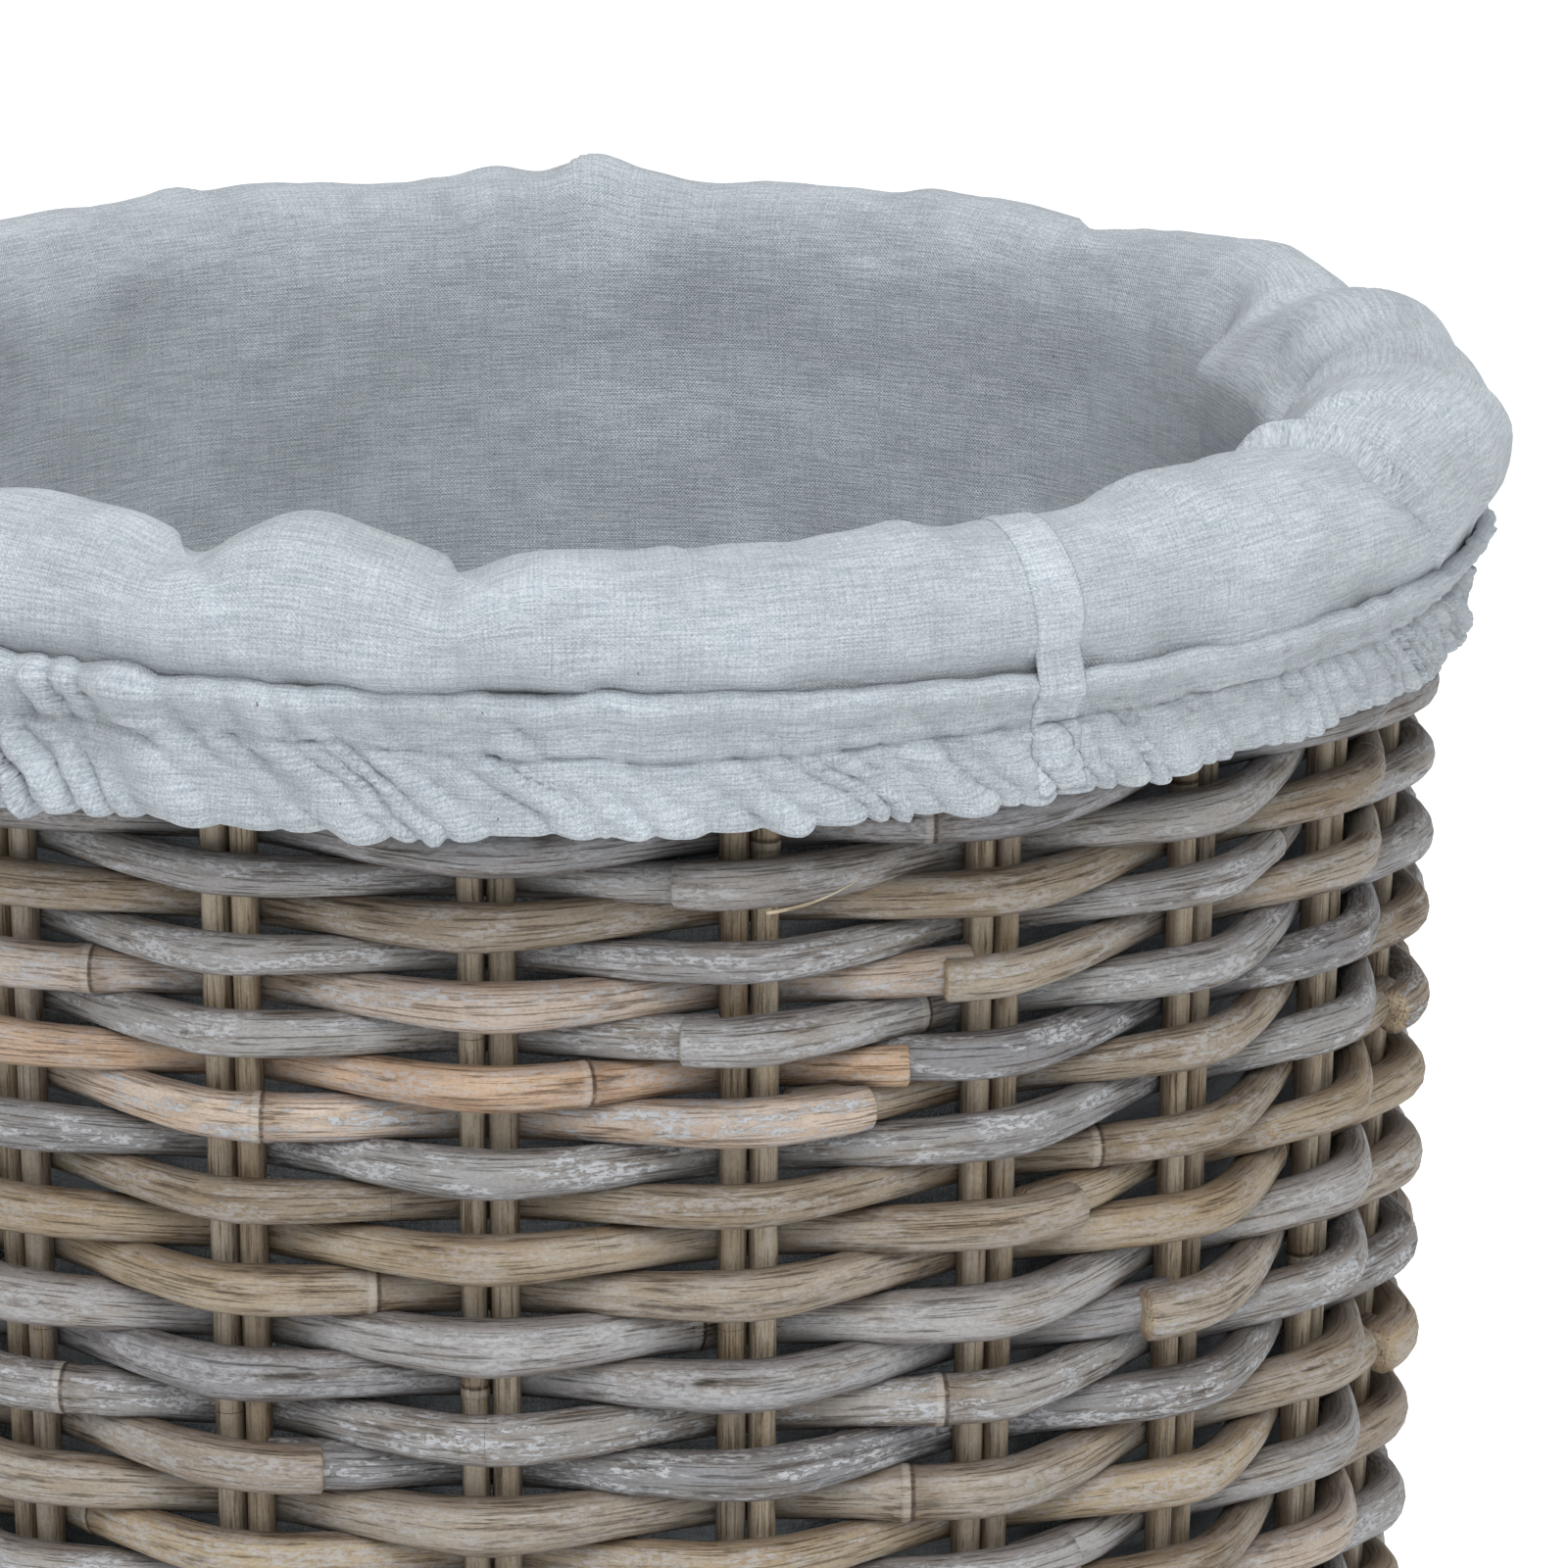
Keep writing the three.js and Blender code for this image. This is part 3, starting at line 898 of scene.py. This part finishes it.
def roll_folds(degrees, share):
    """Outward lift of the overlapping folds on the roll. share is 0 at the crest and 1 at the casing."""
    lift = np.zeros(np.broadcast(degrees, share).shape)
    for at, slant, high, side in ROLL_FOLDS:
        beyond = side * wrapped(degrees - at - slant * share)
        shoulder = smooth((beyond + 0.4) / 0.9) * np.exp(-np.clip(beyond, 0, None) / 7.0)
        fade = smooth((share + 0.5) / 0.4) * (1 - 0.8 * smooth((share - 0.35) / 0.65))
        lift += high * MM * shoulder * fade
    return lift


def dents(degrees, points):
    """Depth of the dents on the inner side of the roll."""
    inside = np.arange(len(points))[:, None] < WALL_ROWS + 0.46 * ROLL_ROWS
    depth = np.zeros(points.shape[:-1])
    for at, level, wide, tall, deep in DENTS:
        up = (points[..., 2] - ROLL_HEIGHT - level * MM) / (tall * MM)
        away = (wrapped(degrees - at) / wide) ** 2 + up ** 2
        depth += deep * MM * np.exp(-away) * inside
    return depth


def liner_points(degrees, closed=True):
    """The cloth's final points, with its folds and soft unevenness."""
    points = liner_surface(degrees)
    rows = np.arange(len(points))[:, None]
    share = ((rows - WALL_ROWS) / (ROLL_ROWS - 1) - CREST_SHARE) / (1 - CREST_SHARE)
    folds = roll_folds(degrees[None, :], share) * (rows >= WALL_ROWS) - dents(degrees[None, :], points)
    uneven = cloth_noise(points * (1, 1, 1.6), 22) * 2.0 * MM + cloth_noise(points, 60) * 0.9 * MM
    hang = np.clip(cloth_noise(points * (1, 1, 0.4), 8) * 9.0 * MM, 0, None)
    hang += np.clip(cloth_noise(points * (1, 1, 0.6) + 5.0, 19) * 4.0 * MM, 0, None)
    on_wall = smooth((WALL_ROWS + 5 - rows) / 10)
    off_floor = smooth(rows / 4)
    stand = (folds + uneven) * (1 - on_wall) + (hang + uneven * 0.25 + 0.3 * MM) * on_wall * off_floor
    return points + normals_of(points, closed) * stand[..., None]


def add_liner_cloth():
    columns = 700
    degrees = SEAM_MIDDLE + np.arange(columns) * 360 / columns
    points = liner_points(degrees)
    along = profile_length(points)
    across = np.broadcast_to(np.radians(degrees) * 0.2, along.shape)
    piece = cloth_grid("liner_cloth", points, across, along, liner_cotton)
    return finish_piece(piece, "liner", "liner_cotton", "liner_body")


def gather_cells(width, spread, seed):
    """Edges and strengths of gathers that fill the whole circle from the seam, widest at the left."""
    pick = random.Random(seed)
    edges = [0.0]
    while edges[-1] < 360:
        left = near(edges[-1] + SEAM_MIDDLE, -38, 40)
        edges.append(edges[-1] + width * (1 + 0.35 * left) * pick.uniform(1 - spread, 1 + spread))
    edges = np.array(edges) * 360 / edges[-1]
    return edges, np.array([pick.uniform(0.25, 1.0) for _ in edges])


def gathers(degrees, slide, cells):
    """Round puffs from 0 to 1 with sharp creases between them."""
    edges, strengths = cells
    place = np.mod(degrees - SEAM_MIDDLE - slide, 360)
    cell = np.clip(np.searchsorted(edges, place, side="right") - 1, 0, len(edges) - 2)
    share = (place - edges[cell]) / (edges[cell + 1] - edges[cell])
    skewed = share ** 1.35
    return strengths[cell] * (1 - np.abs(2 * skewed - 1) ** 2.2)


def casing_row(degrees, share, top, bottom, channel, ruffle):
    """The casing's outer layer, a share of the way down: gathered channel, crease, and ruffle below it."""
    theta = np.radians(degrees)
    here = on_circle(1.0, theta, share * 0.3)
    left, right = near(degrees, -34, 34), near(degrees, 97, 30)
    crease_at = 0.43 + 0.05 * np.sin(theta * 3 + 0.5) + 0.04 * np.sin(theta * 7)
    lower = smooth((share - crease_at + 0.06) / 0.14)

    slant = (6.0 + 2.0 * left + 2.5 * np.sin(theta * 4 + 1)) * (share - 0.5)
    slant = slant + 0.9 * cloth_noise(here, 7) + 0.2 * cloth_noise(here, 26)
    fullness = np.clip(0.9 + 1.0 * cloth_noise(here + 4.0, 9), 0.25, 1.5) + 0.4 * left
    upper_puffs = gathers(degrees, slant * 0.7, channel) * (0.35 + 1.2 * left) * fullness
    lower_puffs = gathers(degrees, slant * 1.2, ruffle) * (0.75 + 0.35 * left) * fullness
    puffs = upper_puffs * (1 - 0.6 * lower) * smooth(share / 0.10) * 3.0 * MM + lower_puffs * lower * 3.3 * MM

    crease = np.exp(-(((share - crease_at) / 0.045) ** 2)) * (0.45 + 0.55 * smooth(0.5 + np.sin(theta * 5)))
    bead = 3.6 * MM * np.exp(-(((share - 0.09) / 0.13) ** 2)) + 1.3 * MM * (share < crease_at)
    flare = (3.2 - 4.7 * right) * MM * np.clip((share - crease_at) / (1 - crease_at), 0, 1) ** 0.8
    radius = CASING_INNER + 2.3 * MM + bead * (1 - lower) + flare + puffs - crease * 1.3 * MM
    radius = radius - 1.4 * MM * (1 - smooth(share / 0.06))
    radius = radius + 0.5 * MM * cloth_noise(on_circle(1.0, theta + share * 0.15, share * 0.4), 60)
    radius = radius + 0.2 * MM * cloth_noise(on_circle(1.0, theta + share * 0.1, share * 0.2), 130)
    z = top + (bottom - top) * share - lower_puffs * 1.8 * MM * share ** 4
    z = z + upper_puffs * 0.9 * MM * math.exp(-share / 0.15)
    return on_circle(radius, theta, z)


def casing_points(degrees):
    """The casing's outer layer from the top down, then round its lower edge and up its inner layer."""
    theta = np.radians(degrees)
    top = CASING_TOP + 0.8 * MM + 1.2 * MM * cloth_noise(on_circle(1.0, theta, 3.0), 12) - sag(degrees)
    drop = 1.2 * MM * np.sin(theta * 2.0 - 0.6) + 1.4 * MM * cloth_noise(on_circle(1.0, theta, 0.0), 9)
    bottom = CASING_BOTTOM + 2.2 * MM + drop
    channel, ruffle = gather_cells(2.9, 0.5, 5), gather_cells(2.1, 0.6, 8)
    shares = [i / (CASING_ROWS - 1) for i in range(CASING_ROWS)]
    rows = [casing_row(degrees, share, top, bottom, channel, ruffle) for share in shares]

    edge = rows[-1]
    edge_radius, edge_level = np.hypot(edge[:, 0], edge[:, 1]), edge[:, 2]
    lining = CASING_INNER + 0.6 * MM
    for i in range(1, EDGE_ROWS):
        turn = math.pi * i / EDGE_ROWS
        radius = (edge_radius + lining) / 2 + (edge_radius - lining) / 2 * math.cos(turn)
        rows.append(on_circle(radius, theta, edge_level - 1.3 * MM * math.sin(turn)))
    radius = CASING_INNER + (0.6 - 0.6 * near(degrees, 97, 30)) * MM
    for i in range(EDGE_ROWS):
        z = edge_level + (top - 1.5 * MM - edge_level) * (i / (EDGE_ROWS - 1))
        rows.append(on_circle(radius, theta, z))
    return np.stack(rows)


def add_hem_casing():
    columns = 1120
    degrees = SEAM_MIDDLE + np.arange(columns) * 360 / columns
    points = casing_points(degrees)[::-1]
    along = profile_length(points)
    across = np.broadcast_to(np.radians(degrees) * 0.23, along.shape)
    piece = cloth_grid("hem_casing_cloth", points, across, along, liner_cotton, thickness=0.8 * MM)
    return finish_piece(piece, "liner", "liner_cotton", "hem_casing")


def add_hem_elastic():
    columns, ripples = 720, 160
    theta = np.arange(columns) * TAU / columns
    radius = outer_of("hem_elastic") - 0.5 * MM + 0.12 * MM * np.sin(theta * ripples)
    z = np.linspace(bottom_of("hem_elastic"), top_of("hem_elastic"), 9)
    points = np.stack([on_circle(radius, theta, level) for level in z])
    along = np.broadcast_to(z[:, None], points.shape[:2])
    across = np.broadcast_to(theta * 0.2, points.shape[:2])
    piece = cloth_grid("hem_elastic_tape", points, across, along, elastic_tape, thickness=0.7 * MM)
    return finish_piece(piece, "liner", "elastic", "hem_elastic")


def add_side_seam():
    """The felled seam: a second layer of cloth over the bag, the roll and the casing, thin at its edges."""
    columns = 15
    degrees = np.linspace(SEAM_MIDDLE - SEAM_HALF, SEAM_MIDDLE + SEAM_HALF, columns)
    bag, casing = liner_points(degrees, closed=False)[1:-4], casing_points(degrees)[3:CASING_ROWS - 1]
    points = np.concatenate([bag, casing])
    edge = np.abs(np.linspace(-1, 1, columns))
    stand = (0.85 - 0.45 * smooth((edge - 0.8) / 0.2)) * MM
    points = points + normals_of(points, closed=False) * stand[None, :, None]
    along = profile_length(points)
    across = np.broadcast_to(np.radians(degrees) * 0.2 + 3.0, along.shape)
    thin = 0.6 * MM
    piece = cloth_grid("side_seam_strip", points, across, along, seam_cotton, closed=False, thickness=thin)
    return finish_piece(piece, "liner", "liner_cotton", "side_seam")


def add_liner_bottom():
    """The round bottom of the bag, lying on the base."""
    low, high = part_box("liner_bottom")
    rings, columns = 40, 180
    radius = np.linspace(0.004, -low.y - 0.4 * MM, rings)[:, None]
    theta = (np.arange(columns) * TAU / columns)[None, :]
    points = on_circle(radius, theta, (low.z + high.z) / 2)
    points[..., 2] += cloth_noise(points, 22) * 0.5 * MM
    piece = cloth_grid("liner_bottom_cloth", points, points[..., 0], points[..., 1], liner_cotton, hub=True)
    return finish_piece(piece, "liner", "liner_cotton", "liner_bottom")


add_liner_cloth()
add_hem_casing()
add_hem_elastic()
add_side_seam()
add_liner_bottom()


# ---------------------------------------------------------------- floor and light

def add_floor():
    """A wide white floor, with a little glow of its own so that it is white out to the horizon."""
    shader = Shader("floor_white", 0.9, 0.1)
    shader.surface.inputs["Base Color"].default_value = (0.93, 0.93, 0.93, 1)
    shader.surface.inputs["Emission Color"].default_value = (1, 1, 1, 1)
    shader.surface.inputs["Emission Strength"].default_value = 0.32
    size = 30.0
    mesh = bpy.data.meshes.new("floor")
    corners = [(-size, -size, 0), (size, -size, 0), (size, size, 0), (-size, size, 0)]
    mesh.from_pydata(corners, [], [(0, 1, 2, 3)])
    mesh.materials.append(shader.material)
    linked("floor", mesh)


def add_light(name, position, size, power):
    """A square panel that faces the upper half of the basket."""
    data = bpy.data.lights.new(name, "AREA")
    data.shape = "SQUARE"
    data.size = size
    data.energy = power
    light = linked(name, data)
    light.location = position
    light.rotation_euler = (Vector((0, 0, 0.4)) - Vector(position)).to_track_quat("-Z", "Y").to_euler()


def add_sun(elevation, turn, strength):
    """A wide soft light from the front and above, the same over the whole floor."""
    data = bpy.data.lights.new("sky_panel", "SUN")
    data.angle = math.radians(50)
    data.energy = strength
    linked("sky_panel", data).rotation_euler = (math.pi / 2 - elevation, 0, turn)


def add_world(strength):
    world = bpy.data.worlds.new("studio")
    world.use_nodes = True
    background = world.node_tree.nodes["Background"]
    background.inputs["Color"].default_value = (1, 1, 1, 1)
    background.inputs["Strength"].default_value = strength
    bpy.context.scene.world = world


add_floor()
add_world(0.42)
add_light("top", (0.1, -1.0, 2.9), 2.4, 38)
add_light("fill", (2.4, -1.2, 1.4), 1.6, 3)
add_sun(math.radians(52), math.radians(8), 1.42)
bpy.context.scene.view_settings.view_transform = "Standard"
